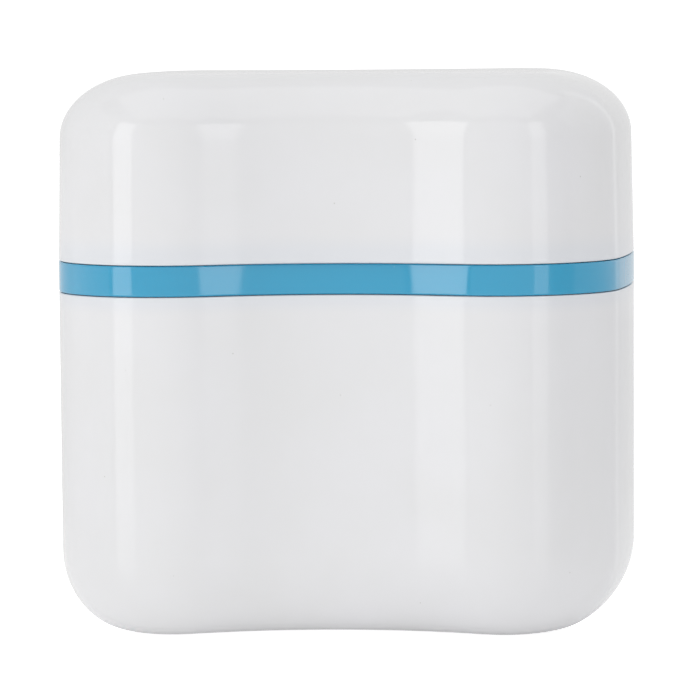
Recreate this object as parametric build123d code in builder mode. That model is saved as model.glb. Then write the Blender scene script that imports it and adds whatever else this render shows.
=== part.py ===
"""Denture case: a cup, a collar with a strainer basket, and a hinged lid with mirror and brush.

Millimetres, +Z up, front towards -Y. The origin is the middle of the foot, on the table.
Each wall that runs round the case is one section, drawn in the XZ plane at the right side
and swept round the lobed plan. Places in a section are given as (inset, height), where the
inset is measured inwards from the widest outline of the case.
"""

import os
from math import cos, isclose, radians, sin, tan

from build123d import *

# Overall form
case_width = 90.0
case_depth = 82.0
cup_height = 52.2
band_height = 4.85
lid_height = 28.3
shadow_gap = 0.2
edge_round = 0.25

# Plan: a hollow between two lobes, front and back alike (turns are headings, in degrees)
lobe_radius = 15.8
lobe_turn = 38.6
corner_radius = 21.5
corner_turn = 81.4
flank_turn = 23.8
flank_length = 4.1

# Cup
cup_wall = 2.4
cup_floor = 2.4
cup_draft = 0.15
foot_round_width = 10.7
foot_round_height = 12.4
foot_ring_width = 3.0
foot_recess = 0.8
lip_width = 0.9

# Collar
collar_wall = 1.5
skirt_depth = 5.5
neck_height = 3.0
neck_round = 0.5
skirt_round = 0.4
shelf_width = 1.2
shelf_thickness = 1.4
fit_gap = 0.3
swing_gap = 0.35
seat_gap = 0.15

# Seals
gasket_width = 1.1
gasket_height = 1.0
seal_width = 1.1
seal_height = 1.4
seal_side_gap = 0.05

# Basket
basket_wall = 1.2
basket_floor = 1.4
basket_flange = 1.4
basket_draft = 1.0
basket_round = 6.0
flange_round = 0.4
basket_standoff = 4.0
drain_hole = 3.2
hole_edge = 0.3
drain_pitch = 7.0
slot_width = 2.6
slot_pitch = 7.0
hole_columns = 11
hole_rows = 11
slot_low = 9.0
slot_high = 8.0
front_slots = 9
side_slots = 5

# Lid
lid_wall = 2.0
lid_step = 1.0
lid_top = 2.2
lid_draft = 1.0
crown_width = 13.3
crown_height = 9.9

# Liner, mirror and brush
liner_thickness = 2.2
liner_lift = 0.5
liner_gap = 0.1
liner_edge = 0.3
mirror_width = 54.0
mirror_height = 32.0
mirror_corner = 7.0
mirror_thickness = 1.2
mirror_recess = 0.1
mirror_centre = 9.0
brush_length = 62.0
brush_width = 10.4
brush_thickness = 5.0
brush_corner = 4.5
brush_centre = -18.5
brush_edge = 1.0
brush_top_edge = 0.5
waist_depth = 1.5
waist_radius = 24.0
waist_place = 4.0
tuft_radius = 0.95
tuft_length = 8.5
tuft_pitch_x = 3.4
tuft_pitch_y = 2.9
tuft_columns = 8
tuft_rows = 3
tuft_centre = -14.5
pocket_wall = 1.2
pocket_gap = 1.0
pocket_roof_gap = 0.8
stop_length = 3.0
grip_rib_width = 1.2
grip_rib_gap = 0.25
grip_place = 22.0
scoop_radius = 9.0
scoop_depth = 1.4
scoop_place = 12.0
bevel_slope = 45.0

# Hinge
knuckle_radius = 2.4
knuckle_length = 13.4
lug_length = 6.5
knuckle_gap = 0.3
pin_radius = 1.0
pin_running_gap = 0.05
pin_seat_gap = 0.02
pin_end_inset = 0.3
pin_chamfer = 0.2
hinge_offset = 0.4
web_gap = 0.25
web_height = 4.4
web_root = 0.9

# Worked out from the plan: the side arc closes the depth, the hollow arc closes the width
side_x = case_width / 2
crest_y = case_depth / 2


def headed(turn):
    """Cosine and sine of a heading in degrees."""
    return cos(radians(turn)), sin(radians(turn))


lobe_cos, lobe_sin = headed(lobe_turn)
corner_cos, corner_sin = headed(corner_turn)
flank_cos, flank_sin = headed(flank_turn)
side_radius = (
    crest_y - lobe_radius * (1 - lobe_cos) - corner_radius * (lobe_cos - corner_cos)
) / corner_cos
hollow_radius = (
    side_x
    - flank_length * flank_cos
    - lobe_radius * (lobe_sin + flank_sin)
    - corner_radius * (corner_sin - lobe_sin)
    - side_radius * (1 - corner_sin)
) / flank_sin
hollow_depth = (lobe_radius + hollow_radius) * (1 - flank_cos) + flank_length * flank_sin
hollow_y = crest_y - hollow_depth

# Worked out heights, from the table up
rim_z = cup_height + shadow_gap
band_top = rim_z + band_height
lid_low = band_top + shadow_gap
case_height = lid_low + lid_height
skirt_low = rim_z - skirt_depth
shelf_top = skirt_low + shelf_thickness
neck_top = band_top + neck_height
liner_low = neck_top + liner_lift
liner_top = liner_low + liner_thickness
crown_z = case_height - crown_height
basket_top = shelf_top + basket_flange
basket_low = cup_floor + basket_standoff

# Worked out insets, from the widest outline inwards
foot_draft = (cup_height - foot_round_height) * tan(radians(cup_draft))
foot_inset = foot_draft + foot_round_width
crown_draft = (crown_z - lid_low) * tan(radians(lid_draft))
crown_inset = crown_draft + crown_width
skirt_inset = cup_wall + fit_gap
collar_inset = skirt_inset + collar_wall
neck_inset = lid_wall + swing_gap + neck_height * tan(radians(lid_draft))
shelf_inset = collar_inset + shelf_width
basket_inset = shelf_inset + seat_gap
basket_drop = (shelf_top - basket_low) * tan(radians(basket_draft))
step_draft = (liner_top - lid_low) * tan(radians(lid_draft))
liner_inset = lid_wall + step_draft + liner_gap
seal_inset = (neck_inset + collar_inset - seal_width) / 2
gasket_inset = (lip_width + cup_wall - gasket_width) / 2

# Worked out places of the hinge, behind the lobes and level with the lid's seam
hinge_y = crest_y + hinge_offset
hinge_z = band_top + shadow_gap / 2
knuckle_half = knuckle_length / 2
hinge_half = knuckle_half + knuckle_gap + lug_length
web_y = hollow_y - web_root


def plan_wire(inset):
    """Closed lobed outline, `inset` inside the case's widest one: tangent arcs and flanks."""
    with BuildLine() as outline:
        side = JernArc((side_x - inset, 0), (0, 1), side_radius - inset, 90 - corner_turn)
        corner = JernArc(side @ 1, side % 1, corner_radius - inset, corner_turn - lobe_turn)
        lobe = JernArc(corner @ 1, corner % 1, lobe_radius - inset, lobe_turn + flank_turn)
        flank = Line(lobe @ 1, lobe @ 1 + flank_length * (lobe % 1))
        JernArc(flank @ 1, flank % 1, hollow_radius + inset, -flank_turn)
        mirror(about=Plane.YZ)
        mirror(about=Plane.XZ)
    return outline.wires()[0]


case_plan = plan_wire(0)


def on_floor(point, inset):
    """Whether a point of the plan lies at least this far inside the widest outline."""
    return Face(case_plan).is_inside(point) and case_plan.distance_to(point) > inset


def lobed_plate(inset, low, high, mode=Mode.ADD):
    """Plate of the case's plan between two heights, in the part being built."""
    with BuildSketch(Plane.XY.offset(low)) as plate:
        make_face(plan_wire(inset).edges())
    extrude(plate.sketch, amount=high - low, mode=mode)


def lobed_ring(corners, mode=Mode.ADD):
    """Ring whose section has these (inset, height) corners, in the part being built."""
    with BuildSketch(Plane.XZ) as section:
        with BuildLine():
            Polyline(*[(side_x - inset, height) for inset, height in corners], close=True)
        make_face()
    sweep(section.sketch, path=case_plan, mode=mode)


def box_section(outer, inner, low, high):
    """Corners of a rectangular section."""
    return [(outer, low), (outer, high), (inner, high), (inner, low)]


def round_corners(section, corners, radius):
    """Fillet of a section's corners at these points."""
    fillet([section.vertices().sort_by_distance(corner)[0] for corner in corners], radius)


def bevelled_mouth(centre_y, length, width, corner):
    """Bevel round an opening of the liner's face, in the part being built."""
    with BuildSketch(Plane.XY.offset(liner_low)) as mouth:
        with Locations((0, centre_y)):
            RectangleRounded(length + 2 * liner_edge, width + 2 * liner_edge, corner + liner_edge)
    extrude(mouth.sketch, amount=liner_edge, taper=bevel_slope, mode=Mode.SUBTRACT)


def hinge_arm(side, low_x, length):
    """Hinge arm from the hollow's wall to its knuckle, above (1) or below (-1) the lid's seam."""
    with BuildSketch(Plane.YZ.offset(low_x)) as arm:
        with BuildLine():
            Polyline(
                (web_y, hinge_z + side * web_height),
                (web_y, hinge_z + side * web_gap),
                (hinge_y, hinge_z + side * web_gap),
                (hinge_y, hinge_z + side * knuckle_radius),
                close=True,
            )
        make_face()
        with Locations((hinge_y, hinge_z)):
            Circle(knuckle_radius)
    extrude(arm.sketch, amount=length)


def hinge_bore(radius):
    """Bore for the pin, right across the hinge, in the part being built."""
    with BuildSketch(Plane.YZ) as bore:
        with Locations((hinge_y, hinge_z)):
            Circle(radius)
    extrude(bore.sketch, amount=hinge_half, both=True, mode=Mode.SUBTRACT)


# White cup: drafted wall with an elliptical foot round, a foot ring and a stepped rim
with BuildPart() as base_cup:
    with BuildSketch(Plane.XZ) as cup_section:
        with BuildLine():
            foot_x = side_x - foot_inset
            outer_foot = EllipticalCenterArc(
                (foot_x, foot_round_height),
                foot_round_width,
                foot_round_height,
                start_angle=270,
                arc_size=90,
            )
            Polyline(
                outer_foot @ 1,
                (side_x, cup_height),
                (side_x - lip_width, cup_height),
                (side_x - lip_width, rim_z),
                (side_x - cup_wall, rim_z),
                (side_x - cup_wall - foot_draft, foot_round_height),
            )
            inner_foot = EllipticalCenterArc(
                (foot_x, foot_round_height),
                foot_round_width - cup_wall,
                foot_round_height - cup_floor,
                start_angle=270,
                arc_size=90,
            )
            Line(inner_foot @ 0, outer_foot @ 0)
        make_face()
        round_corners(cup_section, [(side_x, cup_height)], edge_round)
    sweep(path=case_plan)
    lobed_plate(foot_inset, 0, cup_floor)
    lobed_plate(foot_inset + foot_ring_width, 0, foot_recess, mode=Mode.SUBTRACT)

# Soft ring on the cup's raised inner rim
with BuildPart() as rim_gasket:
    lobed_ring(box_section(gasket_inset, gasket_inset + gasket_width, rim_z, rim_z + gasket_height))

# Blue collar: visible band, skirt with the basket's shelf, neck for the lid, two hinge lugs
with BuildPart() as collar_ring:
    with BuildSketch(Plane.XZ) as band_section:
        with BuildLine():
            Polyline(
                (side_x, rim_z),
                (side_x, band_top),
                (side_x - neck_inset, band_top),
                (side_x - neck_inset, neck_top),
                (side_x - collar_inset, neck_top),
                (side_x - collar_inset, shelf_top),
                (side_x - shelf_inset, shelf_top),
                (side_x - shelf_inset, skirt_low),
                (side_x - skirt_inset, skirt_low),
                (side_x - skirt_inset, rim_z),
                close=True,
            )
        make_face()
        round_corners(band_section, [(side_x, rim_z), (side_x, band_top)], edge_round)
        neck_corners = [(side_x - neck_inset, neck_top), (side_x - collar_inset, neck_top)]
        round_corners(band_section, neck_corners, neck_round)
        round_corners(band_section, [(side_x - skirt_inset, skirt_low)], skirt_round)
    sweep(path=case_plan)
    for low_x in (knuckle_half + knuckle_gap, -hinge_half):
        hinge_arm(-1, low_x, lug_length)
    hinge_bore(pin_radius + pin_seat_gap)
    lobed_ring(
        box_section(
            gasket_inset - seal_side_gap,
            gasket_inset + gasket_width + seal_side_gap,
            rim_z,
            rim_z + gasket_height,
        ),
        mode=Mode.SUBTRACT,
    )

# Strainer basket: hung by its flange on the collar's shelf, drain holes below, slots round it
with BuildPart() as drain_basket:
    with BuildSketch(Plane.XZ) as basket_section:
        with BuildLine():
            outer_top = (side_x - basket_inset, shelf_top)
            outer_low = (side_x - basket_inset - basket_drop, basket_low)
            inner_low = (outer_low[0] - basket_wall, basket_low + basket_floor)
            hem = side_x - basket_inset - basket_drop - basket_round - basket_wall
            flange_edge = (side_x - collar_inset - seat_gap, basket_top)
            flange_mouth = (side_x - basket_inset - basket_wall, basket_top)
            Polyline(
                (hem, basket_low),
                outer_low,
                outer_top,
                (side_x - collar_inset - seat_gap, shelf_top),
                flange_edge,
                flange_mouth,
                inner_low,
                (hem, basket_low + basket_floor),
                close=True,
            )
        make_face()
        round_corners(basket_section, [outer_low], basket_round)
        round_corners(basket_section, [inner_low], basket_round - basket_floor)
        round_corners(basket_section, [flange_edge, flange_mouth], flange_round)
    sweep(path=case_plan)
    lobed_plate(side_x - hem, basket_low, basket_low + basket_floor)
    hole_inset = side_x - hem - basket_wall + drain_hole / 2 + hole_edge
    with BuildSketch(Plane.XY.offset(basket_low)):
        with HexLocations(drain_pitch / 2, hole_columns, hole_rows, major_radius=False) as grid:
            drain_places = [
                place for place in grid.local_locations if on_floor(place.position, hole_inset)
            ]
        with Locations(drain_places):
            Circle(drain_hole / 2)
    extrude(amount=basket_floor, mode=Mode.SUBTRACT)
    hole_rims = drain_basket.edges().filter_by(GeomType.CIRCLE)
    chamfer([rim for rim in hole_rims if isclose(rim.radius, drain_hole / 2)], hole_edge)
    slot_middle = (basket_low + slot_low + shelf_top - slot_high) / 2
    slot_height = shelf_top - slot_high - basket_low - slot_low
    with BuildSketch(Plane.XZ):
        with Locations((0, slot_middle)):
            with GridLocations(slot_pitch, 1, front_slots, 1):
                SlotOverall(slot_height, slot_width, rotation=90)
    extrude(amount=case_depth, both=True, mode=Mode.SUBTRACT)
    with BuildSketch(Plane.YZ):
        with Locations((0, slot_middle)):
            with GridLocations(slot_pitch, 1, side_slots, 1):
                SlotOverall(slot_height, slot_width, rotation=90)
    extrude(amount=case_width, both=True, mode=Mode.SUBTRACT)

# Steel pin, held in the collar's two lugs
with BuildPart() as hinge_pin:
    with BuildSketch(Plane.YZ):
        with Locations((hinge_y, hinge_z)):
            Circle(pin_radius)
    extrude(amount=hinge_half - pin_end_inset, both=True)
    chamfer(hinge_pin.edges().filter_by(GeomType.CIRCLE), pin_chamfer)

# White lid: drafted wall, elliptical crown, a step inside for the liner, the middle knuckle
with BuildPart() as lid_shell:
    with BuildSketch(Plane.XZ) as lid_section:
        with BuildLine():
            crown_x = side_x - crown_inset
            outer_crown = EllipticalCenterArc(
                (crown_x, crown_z), crown_width, crown_height, start_angle=0, arc_size=90
            )
            inner_crown = EllipticalCenterArc(
                (crown_x, crown_z),
                crown_width - lid_wall - lid_step,
                crown_height - lid_top,
                start_angle=0,
                arc_size=90,
            )
            Line(outer_crown @ 1, inner_crown @ 1)
            Polyline(
                inner_crown @ 0,
                (side_x - lid_wall - lid_step - step_draft, liner_top),
                (side_x - lid_wall - step_draft, liner_top),
                (side_x - lid_wall, lid_low),
                (side_x - lid_wall, band_top),
                (side_x - lip_width, band_top),
                (side_x - lip_width, lid_low),
                (side_x, lid_low),
                outer_crown @ 0,
            )
        make_face()
        round_corners(lid_section, [(side_x, lid_low)], edge_round)
    sweep(path=case_plan)
    lobed_plate(crown_inset, case_height - lid_top, case_height)
    hinge_arm(1, -knuckle_half, knuckle_length)
    hinge_bore(pin_radius + pin_running_gap)

# Liner: plate against the lid's step, with the seal's groove, mirror frame and brush pocket
pocket_length = brush_length + 2 * seat_gap
pocket_width = brush_width + 2 * pocket_gap
pocket_roof = liner_low + brush_thickness + tuft_length + pocket_roof_gap
with BuildPart() as lid_liner:
    lobed_plate(liner_inset, liner_low, liner_top)
    with BuildSketch(Plane.XY.offset(liner_low)):
        with Locations((0, brush_centre)):
            RectangleRounded(
                pocket_length + 2 * pocket_wall, pocket_width + 2 * pocket_wall, brush_corner
            )
    extrude(amount=pocket_roof + pocket_wall - liner_low)
    bevelled_mouth(brush_centre, pocket_length, pocket_width, brush_corner)
    with BuildSketch(Plane.XY.offset(liner_low)):
        with Locations((0, brush_centre)):
            RectangleRounded(pocket_length, pocket_width, brush_corner)
    extrude(amount=pocket_roof - liner_low, mode=Mode.SUBTRACT)
    with BuildSketch(Plane.XY.offset(liner_low + brush_thickness)):
        with Locations((0, brush_centre)):
            with GridLocations(pocket_length - stop_length + pocket_wall, 1, 2, 1):
                Rectangle(stop_length + pocket_wall, pocket_width + pocket_wall)
    extrude(amount=pocket_roof - liner_low - brush_thickness)
    with BuildSketch(Plane.XY.offset(liner_low + liner_edge)):
        rib_depth = pocket_gap - grip_rib_gap
        with Locations((0, brush_centre)):
            with GridLocations(2 * grip_place, pocket_width - rib_depth, 2, 2):
                Rectangle(grip_rib_width, rib_depth)
    extrude(amount=brush_thickness - liner_edge)
    with BuildSketch(Plane.XY.offset(liner_low)):
        with Locations((scoop_place, brush_centre)):
            Circle(scoop_radius)
    extrude(amount=scoop_depth, taper=bevel_slope, mode=Mode.SUBTRACT)
    frame_width = mirror_width + 2 * seat_gap
    frame_height = mirror_height + 2 * seat_gap
    bevelled_mouth(mirror_centre, frame_width, frame_height, mirror_corner)
    with BuildSketch(Plane.XY.offset(liner_low)):
        with Locations((0, mirror_centre)):
            RectangleRounded(frame_width, frame_height, mirror_corner)
    extrude(amount=mirror_recess + mirror_thickness, mode=Mode.SUBTRACT)
    lobed_ring(
        box_section(
            seal_inset - seal_side_gap,
            seal_inset + seal_width + seal_side_gap,
            liner_low,
            neck_top + seal_height,
        ),
        mode=Mode.SUBTRACT,
    )

# Soft ring in the liner's groove, closing on the collar's neck
with BuildPart() as lid_seal:
    lobed_ring(box_section(seal_inset, seal_inset + seal_width, neck_top, neck_top + seal_height))

# Mirror, bonded in the liner's frame
with BuildPart() as mirror_glass:
    with BuildSketch(Plane.XY.offset(liner_low + mirror_recess)):
        with Locations((0, mirror_centre)):
            RectangleRounded(mirror_width, mirror_height, mirror_corner)
    extrude(amount=mirror_thickness)

# Brush: waisted handle, back flush with the liner, tufts up into the pocket
with BuildPart() as brush_handle:
    with BuildSketch(Plane.XY.offset(liner_low)):
        with Locations((0, brush_centre)):
            RectangleRounded(brush_length, brush_width, brush_corner)
            waist_y = brush_width / 2 + waist_radius - waist_depth
            with Locations((waist_place, waist_y), (waist_place, -waist_y)):
                Circle(waist_radius, mode=Mode.SUBTRACT)
    extrude(amount=brush_thickness)
    fillet(brush_handle.edges().group_by(Axis.Z)[0], brush_edge)
    fillet(brush_handle.edges().group_by(Axis.Z)[-1], brush_top_edge)

with BuildPart() as brush_bristles:
    with BuildSketch(Plane.XY.offset(liner_low + brush_thickness)):
        with Locations((tuft_centre, brush_centre)):
            with GridLocations(tuft_pitch_x, tuft_pitch_y, tuft_columns, tuft_rows):
                Circle(tuft_radius)
    extrude(amount=tuft_length)

pieces = {
    "base_cup": base_cup,
    "rim_gasket": rim_gasket,
    "collar_ring": collar_ring,
    "lid_seal": lid_seal,
    "drain_basket": drain_basket,
    "hinge_pin": hinge_pin,
    "lid_shell": lid_shell,
    "lid_liner": lid_liner,
    "mirror": mirror_glass,
    "brush_handle": brush_handle,
    "brush_bristles": brush_bristles,
}
os.makedirs("parts", exist_ok=True)
for name, piece in pieces.items():
    piece.part.label = name
    export_step(piece.part, f"parts/{name}.step")
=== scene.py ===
"""Denture case dressed for looks: moulded shells, seals, hinge, mirror and brush round the CAD.

Metres, +Z up, front towards -Y. Each wall that runs round the case is one section, given as
(inset, height) points, carried round the lobed outline of the case. The inset is measured
inwards from the widest outline, so the same few sizes place every piece.
"""

import bpy
import numpy as np
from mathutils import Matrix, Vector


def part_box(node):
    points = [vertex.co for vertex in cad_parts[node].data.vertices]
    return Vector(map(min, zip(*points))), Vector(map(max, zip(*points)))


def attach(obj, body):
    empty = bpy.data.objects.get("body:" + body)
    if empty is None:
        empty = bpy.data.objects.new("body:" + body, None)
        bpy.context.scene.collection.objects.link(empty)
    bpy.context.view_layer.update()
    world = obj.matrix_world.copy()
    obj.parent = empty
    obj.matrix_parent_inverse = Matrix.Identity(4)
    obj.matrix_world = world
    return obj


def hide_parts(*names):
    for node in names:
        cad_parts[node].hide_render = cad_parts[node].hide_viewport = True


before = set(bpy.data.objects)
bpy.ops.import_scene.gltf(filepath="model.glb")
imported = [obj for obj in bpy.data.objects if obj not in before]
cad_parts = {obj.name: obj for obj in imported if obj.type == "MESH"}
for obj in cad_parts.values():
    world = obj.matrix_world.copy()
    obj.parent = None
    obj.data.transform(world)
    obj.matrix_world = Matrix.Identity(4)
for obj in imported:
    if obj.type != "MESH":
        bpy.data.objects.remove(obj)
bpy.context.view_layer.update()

mm = 0.001

# Sizes that the CAD boxes give: lowest and highest corner of each node
cup_high = np.array(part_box("base_cup")[1])
collar_low, collar_high = np.array(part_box("collar_ring"))
lid_high = np.array(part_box("lid_shell")[1])
liner_low = np.array(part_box("lid_liner")[0])
gasket_low, gasket_high = np.array(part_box("rim_gasket"))
seal_low, seal_high = np.array(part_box("lid_seal"))
pin_low, pin_high = np.array(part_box("hinge_pin"))
mirror_low, mirror_high = np.array(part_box("mirror"))
handle_low, handle_high = np.array(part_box("brush_handle"))
tuft_low, tuft_high = np.array(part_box("brush_bristles"))
half_width = cup_high[0]
half_depth = cup_high[1]
rim_z = cup_high[2]
case_height = lid_high[2]
hinge_y = (pin_low[1] + pin_high[1]) / 2
hinge_z = (pin_low[2] + pin_high[2]) / 2
pin_radius = (pin_high[1] - pin_low[1]) / 2
gasket_inset = half_width - gasket_high[0]
seal_inset = half_width - seal_high[0]

# Plan: headings of its arcs in degrees, their radii, the running mean that eases them, its
# points, and the finer steps that are summed for each point
corner_turn = 81.4
lobe_turn = 38.6
flank_turn = 23.8
lobe_radius = 15.8 * mm
corner_radius = 21.5 * mm
flank_length = 4.1 * mm
heading_ease = 4.0 * mm
plan_samples = 640
plan_fineness = 16

# Walls, in the sizes of the moulds
shadow_gap = 0.1 * mm
edge_round = 0.25 * mm
fine_round = 0.06 * mm
flat_support = 0.1 * mm
lip_width = 0.9 * mm
cup_wall = 2.4 * mm
cup_floor = 2.4 * mm
cup_draft = np.radians(0.15)
foot_round = np.array([10.7, 12.4]) * mm
foot_ring_width = 3.0 * mm
foot_recess = 0.8 * mm
band_height = 4.65 * mm
band_recess = np.array([0.35, 0.85]) * mm
band_face = 0.5 * mm
neck_inset = 2.402 * mm
neck_round = 0.5 * mm
skirt_inset = 2.7 * mm
skirt_round = 0.4 * mm
collar_inset = 4.2 * mm
shelf_inset = 5.4 * mm
shelf_thickness = 1.4 * mm
groove_gap = 0.05 * mm
lid_wall = 2.0 * mm
lid_step = 1.0 * mm
lid_top = 2.2 * mm
lid_draft = np.radians(1.0)
crown_round = np.array([13.3, 9.9]) * mm
crown_steps = 32
liner_thickness = 2.2 * mm
gasket_width = 1.1 * mm
gasket_round = 0.36 * mm
seal_width = 1.1 * mm
seal_round = 0.4 * mm

# Hinge
knuckle_radius = 2.4 * mm
knuckle_half = 6.7 * mm
knuckle_gap = 0.3 * mm
hinge_half = 13.5 * mm
bore_radius = 1.03 * mm
pin_chamfer = 0.2 * mm
web_gap = 0.25 * mm
web_height = 4.4 * mm
web_reach = 7.5 * mm
web_round = 0.3 * mm
web_rim = 0.6 * mm

# Mirror and brush
mirror_corner = 7.0 * mm
mirror_polish = 0.3 * mm
mirror_rim = 0.9 * mm
brush_corner = 4.5 * mm
brush_edge = 1.0 * mm
brush_back_edge = 0.5 * mm
brush_rim = 2.0 * mm
seat_gap = 0.02 * mm
waist_place = 4.0 * mm
waist_depth = 1.5 * mm
waist_half = 10.0 * mm

# Tufts and their filaments, whose rings have shares of the length and of the radius
tuft_radius = 0.95 * mm
tuft_columns = 8
tuft_rows = 3
tuft_fill = 0.9
tuft_splay = 0.16
tip_scatter = 0.09 * mm
trim_scatter = 0.35 * mm
scatter_seed = 5
filaments = 26
filament_radius = 0.09 * mm
filament_sides = 6
ring_shares = [0, 0.35, 0.7, 0.975, 1]
ring_widths = [1, 1, 0.96, 0.9, 0.45]

band_top = rim_z + band_height
lid_low = band_top + shadow_gap
crown_z = case_height - crown_round[1]


# ---------------------------------------------------------------- shapes


def closed_outline(places):
    """Outline and its outward normals: each normal is the chord between a point's neighbours,
    turned a quarter to the right of a path that runs anticlockwise."""
    chord = np.roll(places, -1, 0) - np.roll(places, 1, 0)
    outward = np.stack([chord[:, 1], -chord[:, 0]], 1)
    return places, outward / np.linalg.norm(outward, axis=1)[:, None]


def case_outline():
    """Lobed plan of the case.

    Along a quarter of the plan the heading is straight lines against the distance gone: side,
    corner, lobe, flank and hollow, each as long as its radius times its turn. Two mirrorings
    close it. A running mean eases the joints, and the running sum of the heading's cosine and
    sine is the outline, stretched by a hair to fill the CAD box.
    """
    turns = np.radians([90 - corner_turn, corner_turn - lobe_turn, lobe_turn + flank_turn])
    corner_cos, lobe_cos, flank_cos = np.cos(np.radians([corner_turn, lobe_turn, flank_turn]))
    corner_sin, lobe_sin, flank_sin = np.sin(np.radians([corner_turn, lobe_turn, flank_turn]))
    side_radius = (
        half_depth - lobe_radius * (1 - lobe_cos) - corner_radius * (lobe_cos - corner_cos)
    ) / corner_cos
    hollow_radius = (
        half_width
        - flank_length * flank_cos
        - lobe_radius * (lobe_sin + flank_sin)
        - corner_radius * (corner_sin - lobe_sin)
        - side_radius * (1 - corner_sin)
    ) / flank_sin
    radii = np.array([side_radius, corner_radius, lobe_radius])
    runs = np.append(radii * turns, [flank_length, hollow_radius * np.radians(flank_turn)])
    turns = np.append(turns, [0, -np.radians(flank_turn)])
    runs = np.concatenate([runs, runs[::-1], runs, runs[::-1]])
    turns = np.concatenate([turns, turns[::-1], turns, turns[::-1]])
    gone = np.append(0, np.cumsum(runs))
    heading = np.append(0, np.cumsum(turns)) + np.pi / 2
    fine = plan_fineness * plan_samples
    distance = np.arange(fine) / fine * gone[-1]
    sway = np.interp(distance, gone, heading) - 2 * np.pi * distance / gone[-1]
    window = 2 * round(heading_ease / gone[-1] * fine / 2) + 1
    around = np.concatenate([sway[-(window // 2) :], sway, sway[: window // 2]])
    eased = np.convolve(around, np.full(window, 1 / window), "valid")
    eased += 2 * np.pi * distance / gone[-1]
    steps = np.stack([np.cos(eased), np.sin(eased)], 1)
    places = (np.cumsum(steps, 0) - steps / 2)[:: fine // plan_samples]
    low, high = places.min(0), places.max(0)
    places = (places - (low + high) / 2) / (high - low) * 2 * [half_width, half_depth]
    return closed_outline(places)


def circle_outline(middle, radius, samples=48):
    """Circle of that radius round a middle point, anticlockwise."""
    angle = np.arange(samples) / samples * 2 * np.pi
    return closed_outline(middle + radius * np.stack([np.cos(angle), np.sin(angle)], 1))


def spaced(path, samples):
    """Closed path's points moved along it to even steps of its running length."""
    ring = np.concatenate([path, path[:1]])
    gone = np.append(0, np.cumsum(np.linalg.norm(np.diff(ring, axis=0), axis=1)))
    even = np.arange(samples) / samples * gone[-1]
    return np.stack([np.interp(even, gone, ring[:, 0]), np.interp(even, gone, ring[:, 1])], 1)


def box_outline(low, high, radius, samples=240):
    """Rectangle with round corners between two corner points, as even steps, anticlockwise."""
    (left, front), (right, rear) = low[:2], high[:2]
    middle = (front + rear) / 2
    corners = [(right, middle), (right, rear), (left, rear), (left, front), (right, front)]
    return spaced(rounded([*corners, (right, middle)], radius, steps=16)[:-1], samples)


def rounded(path, radii, steps=5):
    """Open run of corners whose inner corners become tangent arcs.

    Each arc is the rational quadratic curve between its two tangent points, which is a true
    circle when its middle weight is the cosine of half the turn. One more point lies a little
    beyond each end, by a third of its reach at most, so that the flats stay flat under smooth
    shading.
    """
    path = np.array(path, float)
    corner = path[1:-1]
    radii = np.broadcast_to(radii, len(corner))[:, None]
    back, ahead = path[:-2] - corner, path[2:] - corner
    back /= np.linalg.norm(back, axis=1)[:, None]
    ahead /= np.linalg.norm(ahead, axis=1)[:, None]
    half_turn = (np.pi - np.arccos(np.clip((back * ahead).sum(1), -1, 1)))[:, None] / 2
    reach = radii * np.tan(half_turn)
    along = np.linspace(0, 1, steps + 1)[:, None, None]
    start, middle, end = (1 - along) ** 2, 2 * along * (1 - along) * np.cos(half_turn), along**2
    arc = start * (corner + reach * back) + middle * corner + end * (corner + reach * ahead)
    arc /= start + middle + end
    beyond = reach + np.minimum(reach / 3, flat_support)
    before, after = corner + beyond * back, corner + beyond * ahead
    run = np.concatenate([before[None], arc, after[None]]).transpose(1, 0, 2)
    return np.concatenate([path[:1], run.reshape(-1, 2), path[-1:]])


def ring_section(inset, width, low, high, radii):
    """Rectangle of a ring's section with round corners, begun halfway up its outer side."""
    outer, inner, middle = inset, inset + width, (low + high) / 2
    corners = [(outer, middle), (outer, high), (inner, high), (inner, low), (outer, low)]
    return rounded([*corners, corners[0]], radii)[:-1]


def plate_section(rim, low, high, radii):
    """Edge of a flat plate: out along the lower face's rim, up the side and in again."""
    return rounded([(rim, low), (0, low), (0, high), (rim, high)], radii)


def quarter_ellipse(middle, radii, start, end, steps=20):
    """Arc of an ellipse in a section, by its angles in degrees: 0 is widest, 90 is the top."""
    angle = np.radians(np.linspace(start, end, steps + 1))
    return np.stack(
        [middle[0] - radii[0] * np.cos(angle), middle[1] + radii[1] * np.sin(angle)], 1
    )


def carried(section, outline, loop=False, drawn_in=0.0):
    """Skin of a section carried round an outline: each point is the outline's point less the
    inset times its outward normal, at the section's height.

    What is drawn in adds to the inset, as rows of the section by points of the outline. Quads
    join neighbouring rows. A loop's last row joins its first; otherwise a flat cap closes each
    end. Sections run up their outer side, so every face points outwards.
    """
    places, outward = outline
    inset, height = np.array(section).T
    inset = inset[:, None] + drawn_in
    flat = places - inset[..., None] * outward
    points = np.dstack([flat, np.broadcast_to(height[:, None], flat.shape[:2])])
    rows, samples = points.shape[:2]
    index = np.arange(rows * samples).reshape(rows, samples)
    low = index if loop else index[:-1]
    high = np.roll(index, -1, 0) if loop else index[1:]
    quads = np.stack([low, np.roll(low, -1, 1), np.roll(high, -1, 1), high], -1)
    caps = [] if loop else [index[0][::-1].tolist(), index[-1].tolist()]
    return points.reshape(-1, 3), quads.reshape(-1, 4).tolist() + caps


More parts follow.
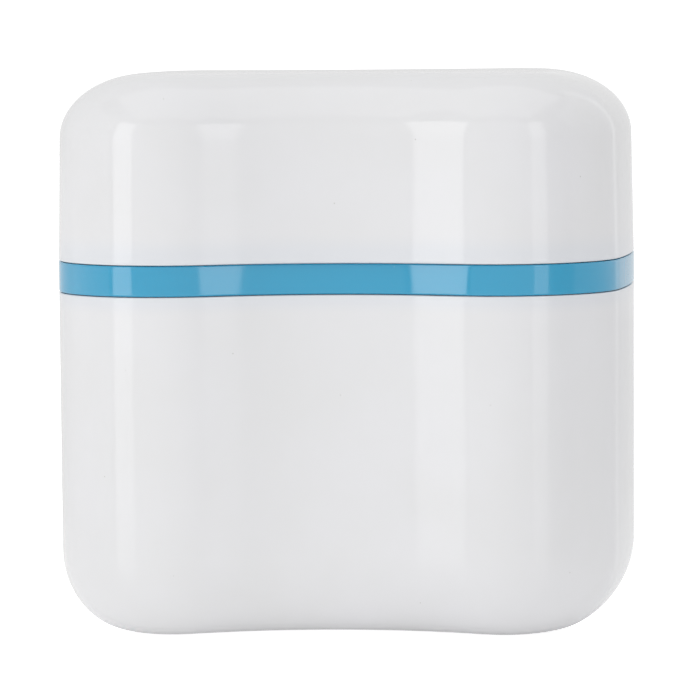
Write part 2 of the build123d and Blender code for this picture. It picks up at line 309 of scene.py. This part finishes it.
def hinge_arm(side, low, high):
    """Knuckle round the pin and the web that carries it, above (1) or below (-1) the seam.

    The knuckle is a rectangle carried round a circle and the web is a flat plate with round
    edges, and both run along X between low and high.
    """
    knuckle = ring_section(0, knuckle_radius - bore_radius, low, high, edge_round)
    root = np.array([hinge_y - web_reach, side * web_height])
    tip = np.array([hinge_y, side * (knuckle_radius - fine_round)])
    corners = np.array([root, tip, (tip[0], side * web_gap), (root[0], side * web_gap)])
    corners[:, 1] += hinge_z
    corners = corners[::-side]
    start = (corners[:1] + corners[-1:]) / 2
    around = rounded(np.concatenate([start, corners, start]), web_round, steps=8)[:-1]
    web = spaced(around, samples=120)
    plate = plate_section(web_rim, low, high, web_round)
    return [
        across(carried(knuckle, circle_outline((hinge_y, hinge_z), knuckle_radius), True)),
        across(carried(plate, closed_outline(web))),
    ]


def across(skin):
    """The same skin laid over, so that its height runs along +X and its outline is in YZ."""
    points, faces = skin
    return points[:, [2, 0, 1]], faces


def joined(skins):
    """Several skins as one, each one's faces counted on from the points before it."""
    points = np.concatenate([points for points, _ in skins])
    starts = np.cumsum([0] + [len(points) for points, _ in skins])
    faces = [
        [corner + start for corner in face]
        for start, (_, faces) in zip(starts, skins)
        for face in faces
    ]
    return points, faces


def piece(name, skin, body, node, material):
    """Smooth-shaded object made of a skin, which rides on a body and stands for a CAD node."""
    points, faces = skin
    mesh = bpy.data.meshes.new(name)
    mesh.from_pydata(points, [], faces)
    mesh.polygons.foreach_set("use_smooth", np.ones(len(mesh.polygons), bool))
    mesh.materials.append(material)
    mesh.update()
    made = bpy.data.objects.new(name, mesh)
    bpy.context.scene.collection.objects.link(made)
    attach(made, body)
    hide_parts(node)


# ---------------------------------------------------------------- materials

# Light of every colour goes equally far under the skin of these milky plastics
even_scatter = (1.0, 1.0, 1.0)


def linear(code):
    """Linear colour of an sRGB hex value: each channel by the standard's two-part curve."""
    srgb = np.array([int(code[place : place + 2], 16) for place in (1, 3, 5)]) / 255
    value = np.where(srgb <= 0.04045, srgb / 12.92, ((srgb + 0.055) / 1.055) ** 2.4)
    return (*value.tolist(), 1.0)


def add(tree, kind, inputs=None, **settings):
    """New node of a kind with its own settings. Each input takes a value or a node's output."""
    node = tree.nodes.new(kind)
    for name, value in settings.items():
        setattr(node, name, value)
    for socket, value in (inputs or {}).items():
        if isinstance(value, bpy.types.NodeSocket):
            tree.links.new(value, node.inputs[socket])
        else:
            node.inputs[socket].default_value = value
    return node


def surface(name, look):
    """Material whose one shader has these constant values, with its tree, shader and place."""
    material = bpy.data.materials.new(name)
    material.use_nodes = True
    tree = material.node_tree
    tree.nodes.clear()
    shader = add(tree, "ShaderNodeBsdfPrincipled", look)
    add(tree, "ShaderNodeOutputMaterial", {"Surface": shader.outputs[0]})
    place = add(tree, "ShaderNodeTexCoord").outputs["Object"]
    return material, tree, shader, place


def tinted(tree, shader, share, start, end):
    """Base colour that goes from a colour, or a node's output, to another by a 0 to 1 share."""
    start = linear(start) if isinstance(start, str) else start
    tone = add(tree, "ShaderNodeMix", {0: share, 6: start, 7: linear(end)}, data_type="RGBA")
    tree.links.new(tone.outputs[2], shader.inputs["Base Color"])
    return tone.outputs[2]


def embossed(tree, shader, layers):
    """Normal of a surface raised by several height patterns: (height, depth in metres) each."""
    normal = {}
    for height, depth in layers:
        bump = add(tree, "ShaderNodeBump", {"Height": height, "Distance": depth, **normal})
        normal = {"Normal": bump.outputs[0]}
    tree.links.new(bump.outputs[0], shader.inputs["Normal"])


def gloss_moulding(name, colour, shade, lint, painted_blue_reflection=None, ior=1.54):
    """ABS moulded in a polished steel mould.

    The eye gets a slow drift of tone where the melt cooled unevenly, reflections that waver
    where the wall sank by a few hundredths of a millimetre, a trace of orange peel, and a few
    motes of lint that static holds. A painted blue reflection is a bluish tone painted on the
    white near the blue collar in place of its reflected light, with the heights between which
    it fades in from below and from above. A dense lacquer has a higher index, and so more
    shine.
    """
    look = {"Roughness": 0.1, "IOR": ior, "Subsurface Weight": 0.05}
    look |= {"Subsurface Radius": even_scatter, "Subsurface Scale": 0.8 * mm}
    drift_size, sink_size, peel_size = 16 * mm, 13 * mm, 1.6 * mm
    sink_depth, peel_depth = 0.12 * mm, 0.0002 * mm
    mote_spacing, mote_radius = 5 * mm, 0.1 * mm
    material, tree, shader, place = surface(name, look)
    drift, sink, peel = (
        add(tree, "ShaderNodeTexNoise", {"Vector": place, "Scale": 1 / size, "Detail": detail})
        for size, detail in ((drift_size, 3.0), (sink_size, 1.0), (peel_size, 1.0))
    )
    cells = add(tree, "ShaderNodeTexVoronoi", {"Vector": place, "Scale": 1 / mote_spacing})
    near = {0: cells.outputs["Distance"], 1: mote_radius / mote_spacing}
    motes = add(tree, "ShaderNodeMath", near, operation="LESS_THAN")
    tone = tinted(tree, shader, drift.outputs[0], colour, shade)
    # Painted reflection: a bluish tone, set by height, painted on the white near the blue
    # collar
    if painted_blue_reflection:
        reflected_blue, fades = painted_blue_reflection
        height = add(tree, "ShaderNodeSeparateXYZ", {"Vector": place}).outputs["Z"]
        share = 1.0
        for clear, full in fades:
            span = {"Value": height, "From Min": clear, "From Max": full}
            fade = add(tree, "ShaderNodeMapRange", span, interpolation_type="SMOOTHSTEP")
            both = {0: share, 1: fade.outputs[0]}
            share = add(tree, "ShaderNodeMath", both, operation="MULTIPLY").outputs[0]
        tone = tinted(tree, shader, share, tone, reflected_blue)
    tinted(tree, shader, motes.outputs[0], tone, lint)
    polish = {"Value": drift.outputs[0], "To Min": 0.08, "To Max": 0.13}
    rough = add(tree, "ShaderNodeMapRange", polish)
    tree.links.new(rough.outputs[0], shader.inputs["Roughness"])
    embossed(tree, shader, [(sink.outputs[0], sink_depth), (peel.outputs[0], peel_depth)])
    return material


def satin_moulding(name, colour, shade, roughness, glow):
    """Polypropylene moulded in a spark-eroded mould.

    The eye gets the fine even grain that the sparks leave, here drawn at 0.3 mm, which spreads
    the light softly, a waxy glow just under the skin, and a slow drift of tone.
    """
    look = {"Roughness": roughness, "IOR": 1.49, "Subsurface Weight": glow}
    look |= {"Subsurface Radius": even_scatter, "Subsurface Scale": 1.2 * mm}
    drift_size, grain_size, grain_depth = 18 * mm, 0.3 * mm, 0.02 * mm
    material, tree, shader, place = surface(name, look)
    drift, grain = (
        add(tree, "ShaderNodeTexNoise", {"Vector": place, "Scale": 1 / size, "Detail": 2.0})
        for size in (drift_size, grain_size)
    )
    tinted(tree, shader, drift.outputs[0], colour, shade)
    embossed(tree, shader, [(grain.outputs[0], grain_depth)])
    return material


def soft_silicone():
    """Silicone rubber, compression moulded and tumbled: matte, milky, with a dusty drift."""
    look = {"Roughness": 0.55, "IOR": 1.41, "Subsurface Weight": 0.25, "Sheen Weight": 0.15}
    look |= {"Subsurface Radius": even_scatter, "Subsurface Scale": 1.0 * mm}
    dust_size, dust_depth = 2 * mm, 0.01 * mm
    material, tree, shader, place = surface("silicone_moulded_matte", look)
    fine = {"Vector": place, "Scale": 1 / dust_size, "Detail": 3.0}
    dust = add(tree, "ShaderNodeTexNoise", fine)
    tinted(tree, shader, dust.outputs[0], "#cfd3d3", "#dfe1e0")
    embossed(tree, shader, [(dust.outputs[0], dust_depth)])
    return material


def drawn_steel():
    """Stainless wire, drawn and cropped: fine lines along the pin and a grey, smeared shine."""
    look = {"Metallic": 1.0, "Roughness": 0.28, "Anisotropic": 0.5}
    line_spacing, line_depth = 0.12 * mm, 0.004 * mm
    along_pin = (0.05, 1.0, 1.0)
    material, tree, shader, place = surface("stainless_steel_drawn", look)
    drawn = add(tree, "ShaderNodeMapping", {"Vector": place, "Scale": along_pin})
    spread = {"Vector": drawn.outputs[0], "Scale": 1 / line_spacing}
    lines = add(tree, "ShaderNodeTexNoise", spread)
    tinted(tree, shader, lines.outputs[0], "#b4b5b6", "#cbccce")
    embossed(tree, shader, [(lines.outputs[0], line_depth)])
    return material


def silvered_glass():
    """Float glass silvered on its back: a clear reflection, a hint of green, a little haze."""
    look = {"Metallic": 1.0, "Coat Weight": 0.4, "Coat Roughness": 0.02}
    haze_size = 9 * mm
    material, tree, shader, place = surface("float_glass_silvered", look)
    patches = {"Vector": place, "Scale": 1 / haze_size, "Detail": 4.0}
    haze = add(tree, "ShaderNodeTexNoise", patches).outputs[0]
    film = {"Value": haze, "From Min": 0.45, "From Max": 0.8, "To Min": 0.01, "To Max": 0.06}
    rough = add(tree, "ShaderNodeMapRange", film)
    tree.links.new(rough.outputs[0], shader.inputs["Roughness"])
    tinted(tree, shader, haze, "#e9edec", "#e3e9e8")
    return material


def nylon_filament():
    """Extruded nylon bristle, cut and end-rounded: translucent white with a silky shine."""
    look = {"Roughness": 0.32, "IOR": 1.53, "Subsurface Weight": 0.2, "Sheen Weight": 0.1}
    look |= {"Subsurface Radius": even_scatter, "Subsurface Scale": 0.2 * mm}
    strand_size = 0.4 * mm
    material, tree, shader, place = surface("nylon_extruded_filament", look)
    strand = add(tree, "ShaderNodeTexNoise", {"Vector": place, "Scale": 1 / strand_size})
    tinted(tree, shader, strand.outputs[0], "#e4e6e3", "#f7f8f6")
    return material


# Painted blue reflection of the collar on the white: it lies from a little below the cup's rim
# to a little above the lid's edge
blue_reflection_heights = (
    (rim_z - 3.2 * mm, rim_z - 0.6 * mm),
    (lid_low + 4.8 * mm, lid_low + 1.2 * mm),
)
whites = ("#e4e4e4", "#eaeaed", "#cbcbc8")
blue_reflection_paint = ("#e2e4e8", blue_reflection_heights)
white_abs = gloss_moulding("white_abs_polished_mould", *whites, blue_reflection_paint)
blues = ("#189bc4", "#1d9ec8", "#7fb4c9")
blue_abs = gloss_moulding("blue_abs_polished_lacquered", *blues, ior=1.8)
blue_pp = satin_moulding("blue_polypropylene_spark_eroded", "#6bb3d1", "#74b8d4", 0.38, 0.25)
white_pp = satin_moulding("white_polypropylene_spark_eroded", "#dfe2e2", "#e6e8e8", 0.42, 0.1)
silicone = soft_silicone()

# ---------------------------------------------------------------- shells

plan = case_outline()

foot_inset = foot_round[0] + (rim_z - foot_round[1]) * np.tan(cup_draft)
cup_rim = rim_z - shadow_gap
wall_drift = (cup_rim - foot_round[1]) * np.tan(cup_draft)
cup_foot = (foot_inset, foot_round[1])
cup_section = np.concatenate(
    [
        rounded(
            [
                (foot_inset + foot_ring_width + foot_recess, foot_recess),
                (foot_inset + foot_ring_width, foot_recess),
                (foot_inset + foot_ring_width, 0),
                (foot_inset, 0),
            ],
            edge_round,
        ),
        quarter_ellipse(cup_foot, foot_round, -90, 0)[1:],
        rounded(
            [
                (wall_drift, foot_round[1] + edge_round),
                (0, cup_rim),
                (lip_width, cup_rim),
                (lip_width, rim_z),
                (cup_wall, rim_z),
                (cup_wall + wall_drift, foot_round[1] + edge_round),
            ],
            [edge_round, fine_round, fine_round, edge_round],
        ),
        quarter_ellipse(cup_foot, foot_round - [cup_wall, cup_floor], 0, -90),
    ]
)
piece("cup", carried(cup_section, plan), "cup", "base_cup", white_abs)

gasket_section = ring_section(
    gasket_inset, gasket_width, gasket_low[2], gasket_high[2], gasket_round
)
gasket_skin = carried(gasket_section, plan, True)
piece("gasket", gasket_skin, "collar", "rim_gasket", silicone)

band_middle = (0, rim_z + band_height / 2)
shelf_z = collar_low[2] + shelf_thickness
groove_outer = gasket_inset - groove_gap
groove_inner = gasket_inset + gasket_width + groove_gap
band_corners = [band_middle, (0, band_top), (neck_inset, band_top)]
neck_corners = [(neck_inset, collar_high[2]), (collar_inset, collar_high[2])]
shelf_corners = [(collar_inset, shelf_z), (shelf_inset, shelf_z), (shelf_inset, collar_low[2])]
skirt_corners = [(skirt_inset, collar_low[2]), (skirt_inset, rim_z)]
groove_corners = [
    (groove_inner, rim_z),
    (groove_inner, gasket_high[2]),
    (groove_outer, gasket_high[2]),
    (groove_outer, rim_z),
]
collar_corners = band_corners + neck_corners + shelf_corners + skirt_corners + groove_corners
collar_rounds = [edge_round, fine_round, neck_round, neck_round, fine_round, edge_round]
collar_rounds += [edge_round, skirt_round] + [fine_round] * 5 + [edge_round]
collar_section = rounded([*collar_corners, (0, rim_z), band_middle], collar_rounds)[:-1]

# Between the lobes the band's face leans back under the lid: a cosine-squared share of its
# recess, which is deeper at its top
lean_depth = np.interp(collar_section[:, 1], [rim_z, band_top], band_recess)
lean_depth[collar_section[:, 0] > band_face] = 0
lean_share = np.cos(np.pi / 2 * plan[0][:, 0] / half_width) ** 2
collar_wall = carried(collar_section, plan, True, lean_depth[:, None] * lean_share)
lug_length = hinge_half - knuckle_half - knuckle_gap
lugs = [
    part
    for low in (-hinge_half, knuckle_half + knuckle_gap)
    for part in hinge_arm(-1, low, low + lug_length)
]
collar_skin = joined([collar_wall, *lugs])
piece("collar", collar_skin, "collar", "collar_ring", blue_abs)

crown_inset = crown_round[0] + (crown_z - lid_low) * np.tan(lid_draft)
crown_middle = (crown_inset, crown_z)
crown_drift = crown_inset - crown_round[0]
inner_wall = lid_wall + lid_step
step_z = liner_low[2] + liner_thickness
step_drift = (step_z - lid_low) * np.tan(lid_draft)
lid_section = np.concatenate(
    [
        quarter_ellipse(crown_middle, crown_round - [inner_wall, lid_top], 90, 0),
        rounded(
            [
                (crown_drift + inner_wall, crown_z - edge_round),
                (inner_wall + step_drift, step_z),
                (lid_wall + step_drift, step_z),
                (lid_wall, band_top),
                (lip_width, band_top),
                (lip_width, lid_low),
                (0, lid_low),
                (crown_drift, crown_z - edge_round),
            ],
            [edge_round, edge_round, fine_round, fine_round, fine_round, edge_round],
        ),
        quarter_ellipse(crown_middle, crown_round, 0, 90, crown_steps),
    ]
)
lid_skin = joined([carried(lid_section, plan), *hinge_arm(1, -knuckle_half, knuckle_half)])
piece("lid", lid_skin, "lid", "lid_shell", white_abs)

# ---------------------------------------------------------------- small pieces

seal_rounds = [edge_round, edge_round, seal_round, seal_round]
seal_section = ring_section(seal_inset, seal_width, seal_low[2], seal_high[2], seal_rounds)
piece("seal", carried(seal_section, plan, True), "lid", "lid_seal", silicone)

pin_section = plate_section(pin_radius / 2, pin_low[0], pin_high[0], pin_chamfer)
pin_skin = across(carried(pin_section, circle_outline((hinge_y, hinge_z), pin_radius)))
piece("pin", pin_skin, "collar", "hinge_pin", drawn_steel())

mirror_section = plate_section(mirror_rim, mirror_low[2], mirror_high[2], mirror_polish)
mirror_outline = closed_outline(box_outline(mirror_low, mirror_high, mirror_corner))
mirror_skin = carried(mirror_section, mirror_outline)
piece("glass", mirror_skin, "lid", "mirror", silvered_glass())

# Handle: a round-cornered plate drawn in at its waist by a cosine-squared hollow each side
handle_outline = box_outline(handle_low, handle_high, brush_corner)
handle_middle = (handle_low[1] + handle_high[1]) / 2
handle_half = (handle_high[1] - handle_low[1]) / 2
waist_share = np.clip((handle_outline[:, 0] - waist_place) / waist_half, -1, 1)
waist = 1 - waist_depth / handle_half * np.cos(np.pi / 2 * waist_share) ** 2
handle_outline[:, 1] = handle_middle + (handle_outline[:, 1] - handle_middle) * waist
handle_top = handle_high[2] - seat_gap
handle_rounds = [brush_edge, brush_back_edge]
handle_section = plate_section(brush_rim, handle_low[2], handle_top, handle_rounds)
handle_skin = carried(handle_section, closed_outline(handle_outline))
piece("handle", handle_skin, "brush", "brush_handle", blue_abs)


def bristle_tufts():
    """Tufts of filaments: each is a thin tube whose rings stand at a few shares of its length.

    In a tuft the roots lie on a sunflower spiral, at a radius that grows as the square root of
    the count and an angle that steps by the golden angle. Tips lean outwards by the root's
    place times a small splay, plus a little seeded scatter, and narrow to a round end.
    """
    scatter = np.random.default_rng(scatter_seed)
    columns = np.linspace(tuft_low[0] + tuft_radius, tuft_high[0] - tuft_radius, tuft_columns)
    rows = np.linspace(tuft_low[1] + tuft_radius, tuft_high[1] - tuft_radius, tuft_rows)
    tufts = np.stack(np.meshgrid(columns, rows), -1).reshape(-1, 1, 2)
    count = np.arange(filaments)
    reach = (tuft_radius - filament_radius) * tuft_fill
    radius = reach * np.sqrt((count + 0.5) / filaments)
    golden_angle = np.pi * (3 - np.sqrt(5))
    angle = count * golden_angle
    root = radius[:, None] * np.stack([np.cos(angle), np.sin(angle)], 1)
    lean = root * tuft_splay + scatter.normal(0, tip_scatter, (len(tufts), filaments, 2))
    trim = scatter.uniform(-trim_scatter, 0, (len(tufts), filaments))
    share = np.array(ring_shares)[:, None, None]
    width = np.array(ring_widths)[:, None, None, None] * filament_radius
    length = tuft_high[2] - tuft_low[2] + trim
    middle = tufts + root + share[..., None] ** 2 * lean
    height = tuft_low[2] + share * length
    turn = np.arange(filament_sides) / filament_sides * 2 * np.pi
    around = np.stack([np.cos(turn), np.sin(turn)], 1)
    ring = middle[:, :, :, None] + width[..., None] * around
    tall = np.broadcast_to(height[..., None, None], ring.shape[:-1] + (1,))
    points = np.concatenate([ring, tall], -1).transpose(1, 2, 0, 3, 4)
    index = np.arange(points[..., 0].size).reshape(-1, len(share), filament_sides)
    low, high = index[:, :-1], index[:, 1:]
    sides = np.stack([low, np.roll(low, -1, 2), np.roll(high, -1, 2), high], -1)
    ends = index[:, 0, ::-1].tolist() + index[:, -1].tolist()
    return points.reshape(-1, 3), sides.reshape(-1, 4).tolist() + ends


piece("bristles", bristle_tufts(), "brush", "brush_bristles", nylon_filament())

# The strainer and the lid's inner panel keep their CAD meshes
for node, material in (("drain_basket", blue_pp), ("lid_liner", white_pp)):
    for own_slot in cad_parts[node].material_slots:
        own_slot.material = material

# ---------------------------------------------------------------- stage, light and camera

# A panel that looks down more steeply than this has no right of its own, and takes X for it
nearly_upright = 0.99


def glowing_panel(name, middle, facing, width, height, radiance):
    """Rectangular softbox that faces a point: power is pi times its area times its radiance."""
    light = bpy.data.lights.new(name, "AREA")
    light.shape = "RECTANGLE"
    light.size, light.size_y = width, height
    light.energy = np.pi * width * height * radiance
    lamp = bpy.data.objects.new(name, light)
    bpy.context.scene.collection.objects.link(lamp)
    back = np.array(middle) - facing
    back = back / np.linalg.norm(back)
    right = np.array([1.0, 0, 0])
    if abs(back[2]) < nearly_upright:
        right = np.cross([0, 0, 1], back)
        right = right / np.linalg.norm(right)
    lamp.matrix_world = turned_to(right, np.cross(back, right), back, middle)
    lamp.visible_camera = False


def turned_to(right, up, back, place):
    """Placement whose axes are the three given directions."""
    axes = np.eye(4)
    axes[:3] = np.stack([right, up, back, place], 1)
    return [list(column) for column in axes.T]


# Camera: where it stands round its target, and the pixel where the target falls
camera_azimuth = np.radians(4.23)
camera_elevation = np.radians(3.72)
camera_roll = np.radians(0.45)
camera_distance = 780 * mm
camera_target = np.array([0, 0, 44.5]) * mm
camera_pixels = 4915.6
picture_side = 680
target_pixel = np.array([350.14, 331.41])
sensor_width = 36.0
nearest_seen = 10 * mm

back = np.array(
    [
        np.sin(camera_azimuth) * np.cos(camera_elevation),
        -np.cos(camera_azimuth) * np.cos(camera_elevation),
        np.sin(camera_elevation),
    ]
)
level = np.array([np.cos(camera_azimuth), np.sin(camera_azimuth), 0])
rise = np.cross(back, level)
right = level * np.cos(camera_roll) - rise * np.sin(camera_roll)
up = level * np.sin(camera_roll) + rise * np.cos(camera_roll)
camera = bpy.data.cameras.new("camera")
camera.sensor_width = sensor_width
camera.lens = camera_pixels * sensor_width / picture_side
camera.shift_x = (picture_side / 2 - target_pixel[0]) / picture_side
camera.shift_y = (target_pixel[1] - picture_side / 2) / picture_side
camera.clip_start = nearest_seen
view = bpy.data.objects.new("camera", camera)
bpy.context.scene.collection.objects.link(view)
view.matrix_world = turned_to(right, up, back, camera_target + camera_distance * back)
bpy.context.scene.camera = view

# Tall softboxes stand on the floor either side of the camera, each dimmer at its foot.
# A side is its turn from the camera's axis in degrees and its width. A softbox adds its
# lower and upper end and its radiance.
softbox_distance = 770 * mm
softbox_foot = 95 * mm
softbox_top = 620 * mm
left_side = (-54.6, 307 * mm)
right_side = (39.3, 222 * mm)
softboxes = {
    "softbox_left_foot": (*left_side, 0, softbox_foot, 1.55),
    "softbox_left": (*left_side, softbox_foot, softbox_top, 1.8),
    "softbox_right_foot": (*right_side, 0, softbox_foot, 0.95),
    "softbox_right": (*right_side, softbox_foot, softbox_top, 1.5),
}
for name, (turn, width, low, high, radiance) in softboxes.items():
    bearing = camera_azimuth + np.radians(turn)
    middle = softbox_distance * np.array([np.sin(bearing), -np.cos(bearing), 0])
    middle[2] = (low + high) / 2
    glowing_panel(name, middle, middle * [0, 0, 1], width, high - low, radiance)

# White panels round the table: middle, the point faced, width and height in metres, radiance
panels = {
    "panel_behind": ([-0.4, 0.75, 0.6], [-0.4, 0, 0.6], 1.9, 1.2, 0.2),
    "panel_right": ([0.95, 0.5, 0.6], [0, 0, 0.6], 1.5, 1.2, 0.25),
    "panel_left": ([-1.3, 0.1, 0.6], [0, 0.1, 0.6], 1.3, 1.2, 0.27),
    "panel_in_front": ([0, -1.7, 0.7], [0, 0, 0.7], 2.6, 1.4, 0.28),
    "panel_overhead": ([0, -0.1, 1.25], [0, -0.1, 0], 1.6, 1.6, 0.51),
}
for name, (middle, facing, width, height, radiance) in panels.items():
    glowing_panel(name, middle, facing, width, height, radiance)


def lit_acrylic():
    """Sheet of acrylic, cast and polished, lit from below.

    The eye gets an even white floor. To the case's reflections it is glossier, and it glows
    only in front and to the left, by a straight fade along a slanting direction, and in a pool
    that fades with distance round the foot. Its colour darkens to the right by a straight fade,
    which is painted shade.
    """
    shade_reach = 250 * mm
    slant = (0.6, 1.0, 0.0)
    glow_start, glow_end, glow_strong, glow_weak = -220 * mm, 80 * mm, 0.22, 0.04
    pool_start, pool_end, pool_strong = 50 * mm, 220 * mm, 0.11
    seen_glow = 0.7
    look = {"Emission Color": linear("#ffffff")}
    material, tree, shader, place = surface("floor_acrylic_lit_from_below", look)
    aside = add(tree, "ShaderNodeSeparateXYZ", {"Vector": place}).outputs["X"]
    # Painted shade: the floor's colour darkens towards the right
    painted_right_shade = add(tree, "ShaderNodeMapRange", {"Value": aside, "From Max": shade_reach})
    tinted(tree, shader, painted_right_shade.outputs[0], "#f0f0f0", "#ccccd0")
    slanting = add(tree, "ShaderNodeVectorMath", {0: place, 1: slant}, operation="DOT_PRODUCT")
    glow = {"Value": slanting.outputs["Value"], "From Min": glow_start, "From Max": glow_end}
    glow |= {"To Min": glow_strong, "To Max": glow_weak}
    away = add(tree, "ShaderNodeVectorMath", {0: place}, operation="LENGTH")
    pool = {"Value": away.outputs["Value"], "From Min": pool_start, "From Max": pool_end}
    pool |= {"To Min": pool_strong, "To Max": 0.0}
    fades = (add(tree, "ShaderNodeMapRange", fade).outputs[0] for fade in (glow, pool))
    reflected = add(tree, "ShaderNodeMath", dict(enumerate(fades)), operation="ADD")
    seen = add(tree, "ShaderNodeLightPath").outputs["Is Camera Ray"]
    shown = add(tree, "ShaderNodeMath", {0: seen, 1: seen_glow}, operation="MULTIPLY")
    brighter = {0: shown.outputs[0], 1: reflected.outputs[0]}
    strength = add(tree, "ShaderNodeMath", brighter, operation="MAXIMUM")
    tree.links.new(strength.outputs[0], shader.inputs["Emission Strength"])
    rough = add(tree, "ShaderNodeMapRange", {"Value": seen, "To Min": 0.1, "To Max": 0.4})
    tree.links.new(rough.outputs[0], shader.inputs["Roughness"])
    return material


floor_left, floor_right = -2.0, 2.0
floor_front, floor_rear = -2.0, 2.5
floor_z = -0.05 * mm
floor_corners = [
    (floor_left, floor_front, floor_z),
    (floor_right, floor_front, floor_z),
    (floor_right, floor_rear, floor_z),
    (floor_left, floor_rear, floor_z),
]
floor_mesh = bpy.data.meshes.new("floor")
floor_mesh.from_pydata(floor_corners, [], [(0, 1, 2, 3)])
floor_mesh.materials.append(lit_acrylic())
floor = bpy.data.objects.new("floor", floor_mesh)
bpy.context.scene.collection.objects.link(floor)

# World: white to the camera and a soft grey fill to every surface
fill_radiance = 0.585
backdrop_radiance = 1.2
world = bpy.data.worlds.new("studio")
bpy.context.scene.world = world
world.use_nodes = True
sky = world.node_tree
sky.nodes.clear()
camera_ray = add(sky, "ShaderNodeLightPath").outputs["Is Camera Ray"]
levels = {"Value": camera_ray, "To Min": fill_radiance, "To Max": backdrop_radiance}
level_seen = add(sky, "ShaderNodeMapRange", levels).outputs[0]
tent = add(sky, "ShaderNodeBackground", {"Color": linear("#ffffff"), "Strength": level_seen})
add(sky, "ShaderNodeOutputWorld", {"Surface": tent.outputs[0]})
bpy.context.scene.view_settings.view_transform = "Standard"
